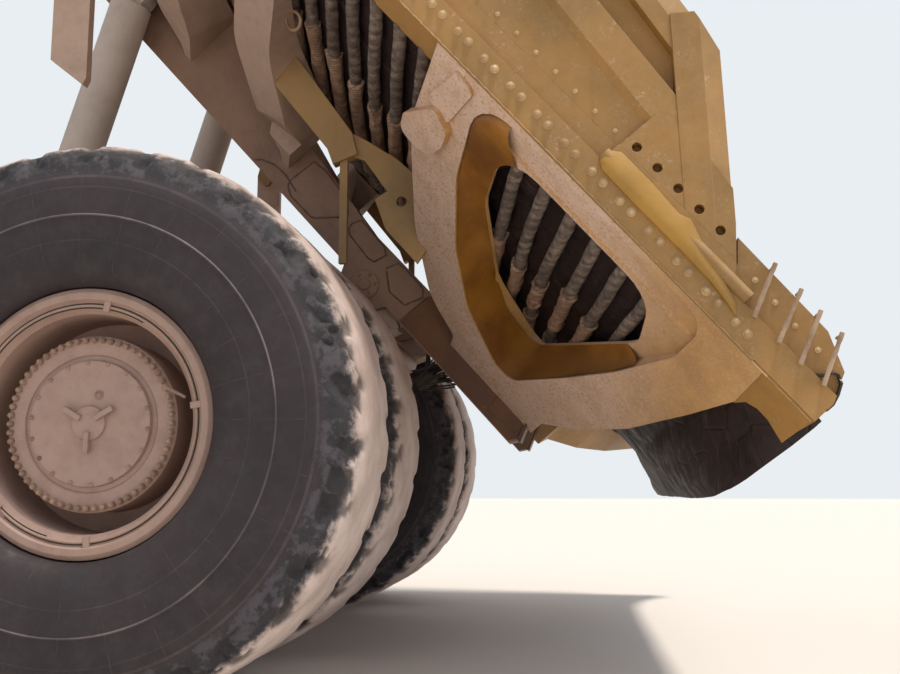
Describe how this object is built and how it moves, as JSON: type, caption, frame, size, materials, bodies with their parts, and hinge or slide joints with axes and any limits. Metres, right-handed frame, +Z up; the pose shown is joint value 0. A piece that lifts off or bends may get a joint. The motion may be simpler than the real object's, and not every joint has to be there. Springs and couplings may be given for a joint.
{
  "type": "mining dump truck with suspended rubber mat body",
  "caption": "Rigid mining dump truck standing with its rope-suspended rubber mat body raised on two telescopic hoists, with twin rear wheels and a front deck and cab.",
  "frame": {"origin": "on the ground, under the middle of the outline of the truck with its body raised", "axes": "+X to the front of the truck, +Y to its left, +Z up"},
  "size_m": [14.4157, 8.89, 12.8855],
  "materials": {
    "tan_paint": "dusty weathered paint",
    "ochre_paint": "weathered paint",
    "rubber_tyre": "worn tread, dusty sidewalls",
    "mat_rubber": "scuffed rubber sheet",
    "rope": "sleeved rope",
    "steel_rod": "ground rod",
    "engine": "oily",
    "glass": "clear",
    "seat_vinyl": "matt vinyl",
    "dash": "moulded",
    "rail_paint": "worn safety paint",
    "lamp": "clear lens",
    "black_steel": "satin"
  },
  "bodies": {
    "chassis": {"main_frame": "tan_paint", "front_collar": "tan_paint", "front_bumper": "tan_paint", "rear_axle": "tan_paint", "rear_struts": "steel_rod", "front_struts": "tan_paint", "engine_block": "engine", "radiator": "ochre_paint", "fuel_tank": "ochre_paint", "hydraulic_tank": "ochre_paint", "deck": "tan_paint", "handrails": "rail_paint", "cab_shell": "ochre_paint", "cab_glass": "glass", "cab_seat": "seat_vinyl", "cab_console": "dash", "control_cabinet": "ochre_paint", "grid_box": "ochre_paint", "ladders": "rail_paint", "headlamps": "lamp", "mirrors": "black_steel", "air_cleaners": "black_steel"},
    "bed": {"bed_rails": "tan_paint", "ring_arms": "ochre_paint", "arch_arms": "tan_paint", "side_beams": "ochre_paint", "side_walls": "ochre_paint", "rubber_mat": "mat_rubber", "ropes": "rope", "front_wall": "ochre_paint", "canopy": "ochre_paint", "bed_braces": "ochre_paint"},
    "cab_door": {"cab_door": "ochre_paint", "door_glass": "glass"},
    "ejector_left": {"ejector_left": "tan_paint"},
    "ejector_right": {"ejector_right": "tan_paint"},
    "hoist_barrel_left": {"hoist_barrel_left": "tan_paint"},
    "hoist_barrel_right": {"hoist_barrel_right": "tan_paint"},
    "hoist_stage_left": {"hoist_stage_left": "steel_rod"},
    "hoist_stage_right": {"hoist_stage_right": "steel_rod"},
    "hoist_rod_left": {"hoist_rod_left": "steel_rod"},
    "hoist_rod_right": {"hoist_rod_right": "steel_rod"},
    "knuckle_left": {"knuckle_left": "tan_paint"},
    "knuckle_right": {"knuckle_right": "tan_paint"},
    "tie_rod": {"tie_rod": "steel_rod"},
    "steer_barrel_left": {"steer_barrel_left": "tan_paint"},
    "steer_barrel_right": {"steer_barrel_right": "tan_paint"},
    "steer_rod_left": {"steer_rod_left": "steel_rod"},
    "steer_rod_right": {"steer_rod_right": "steel_rod"},
    "wheel_front_left": {"tyre_front_left": "rubber_tyre", "rim_front_left": "tan_paint"},
    "wheel_front_right": {"tyre_front_right": "rubber_tyre", "rim_front_right": "tan_paint"},
    "wheels_rear_left": {"tyres_rear_left": "rubber_tyre", "rims_rear_left": "tan_paint"},
    "wheels_rear_right": {"tyres_rear_right": "rubber_tyre", "rims_rear_right": "tan_paint"}
  },
  "joints": [
    {"name": "bed_tip", "type": "hinge", "parent": "chassis", "child": "bed", "pos_m": [-3.52, 0, 3.41], "axis": [0, 1, 0], "range_deg": [0, 48]},
    {"name": "hoist_swing_left", "type": "hinge", "parent": "bed", "child": "hoist_barrel_left", "pos_m": [-1.21141, 1.44, 6.37746], "axis": [0, 1, 0], "range_deg": [-32.78, 0.2]},
    {"name": "hoist_stage_slide_left", "type": "slide", "parent": "hoist_barrel_left", "child": "hoist_stage_left", "axis": [0.287, 0, -0.9579], "range_m": [-1.4608, 0.003]},
    {"name": "hoist_rod_slide_left", "type": "slide", "parent": "hoist_stage_left", "child": "hoist_rod_left", "axis": [0.287, 0, -0.9579], "range_m": [-1.4608, 0.003]},
    {"name": "ejector_swing_left", "type": "hinge", "parent": "bed", "child": "ejector_left", "pos_m": [-1.34162, 2.95, 5.75461], "axis": [0, 1, 0], "range_deg": [-48.2, 0.2]},
    {"name": "hoist_swing_right", "type": "hinge", "parent": "bed", "child": "hoist_barrel_right", "pos_m": [-1.21141, -1.44, 6.37746], "axis": [0, 1, 0], "range_deg": [-32.78, 0.2]},
    {"name": "hoist_stage_slide_right", "type": "slide", "parent": "hoist_barrel_right", "child": "hoist_stage_right", "axis": [0.287, 0, -0.9579], "range_m": [-1.4608, 0.003]},
    {"name": "hoist_rod_slide_right", "type": "slide", "parent": "hoist_stage_right", "child": "hoist_rod_right", "axis": [0.287, 0, -0.9579], "range_m": [-1.4608, 0.003]},
    {"name": "ejector_swing_right", "type": "hinge", "parent": "bed", "child": "ejector_right", "pos_m": [-1.34162, -2.95, 5.75461], "axis": [0, 1, 0], "range_deg": [-48.2, 0.2]},
    {"name": "steer_left", "type": "hinge", "parent": "chassis", "child": "knuckle_left", "pos_m": [4.13, 2.05, 1.91], "axis": [0, 0, 1], "range_deg": [-32, 32]},
    {"name": "steer_right", "type": "hinge", "parent": "chassis", "child": "knuckle_right", "pos_m": [4.13, -2.05, 1.91], "axis": [0, 0, 1], "range_deg": [-32.2, 32.2]},
    {"name": "tie_rod_swing", "type": "hinge", "parent": "knuckle_left", "child": "tie_rod", "pos_m": [3.28, 2.05, 1.415], "axis": [0, 0, 1], "range_deg": [-32.2, 32.2]},
    {"name": "steer_swing_left", "type": "hinge", "parent": "chassis", "child": "steer_barrel_left", "pos_m": [3.73, 0.56, 1.43], "axis": [0, 0, 1], "range_deg": [-2, 2]},
    {"name": "steer_slide_left", "type": "slide", "parent": "steer_barrel_left", "child": "steer_rod_left", "axis": [0, 1, 0], "range_m": [-0.2126, 0.2126]},
    {"name": "steer_swing_right", "type": "hinge", "parent": "chassis", "child": "steer_barrel_right", "pos_m": [3.73, -0.56, 1.43], "axis": [0, 0, 1], "range_deg": [-2, 2]},
    {"name": "steer_slide_right", "type": "slide", "parent": "steer_barrel_right", "child": "steer_rod_right", "axis": [0, -1, 0], "range_m": [-0.2126, 0.2126]},
    {"name": "wheel_spin_front_left", "type": "hinge", "parent": "knuckle_left", "child": "wheel_front_left", "pos_m": [4.13, 3.3, 1.91], "axis": [0, 1, 0], "continuous": true},
    {"name": "wheel_spin_rear_left", "type": "hinge", "parent": "chassis", "child": "wheels_rear_left", "pos_m": [-2.22, 2.95, 1.91], "axis": [0, 1, 0], "continuous": true},
    {"name": "wheel_spin_front_right", "type": "hinge", "parent": "knuckle_right", "child": "wheel_front_right", "pos_m": [4.13, -3.3, 1.91], "axis": [0, 1, 0], "continuous": true},
    {"name": "wheel_spin_rear_right", "type": "hinge", "parent": "chassis", "child": "wheels_rear_right", "pos_m": [-2.22, -2.95, 1.91], "axis": [0, 1, 0], "continuous": true},
    {"name": "cab_door_swing", "type": "hinge", "parent": "chassis", "child": "cab_door", "pos_m": [5.89, 2.924, 5.4], "axis": [0, 0, -1], "range_deg": [0, 85]}
  ],
  "couplings": [
    {"joint": "hoist_swing_left", "follows": "bed_tip", "ratio": -0.67867},
    {"joint": "hoist_stage_slide_left", "follows": "bed_tip", "m_per_rad": -1.7401},
    {"joint": "hoist_rod_slide_left", "follows": "bed_tip", "m_per_rad": -1.7401},
    {"joint": "ejector_swing_left", "follows": "bed_tip", "ratio": -1},
    {"joint": "hoist_swing_right", "follows": "bed_tip", "ratio": -0.67867},
    {"joint": "hoist_stage_slide_right", "follows": "bed_tip", "m_per_rad": -1.7401},
    {"joint": "hoist_rod_slide_right", "follows": "bed_tip", "m_per_rad": -1.7401},
    {"joint": "ejector_swing_right", "follows": "bed_tip", "ratio": -1},
    {"joint": "steer_right", "follows": "steer_left", "ratio": 1},
    {"joint": "tie_rod_swing", "follows": "steer_left", "ratio": -1},
    {"joint": "steer_swing_left", "follows": "steer_left", "ratio": -0.044637},
    {"joint": "steer_slide_left", "follows": "steer_left", "m_per_rad": -0.37709},
    {"joint": "steer_swing_right", "follows": "steer_left", "ratio": -0.044637},
    {"joint": "steer_slide_right", "follows": "steer_left", "m_per_rad": 0.37709}
  ]
}
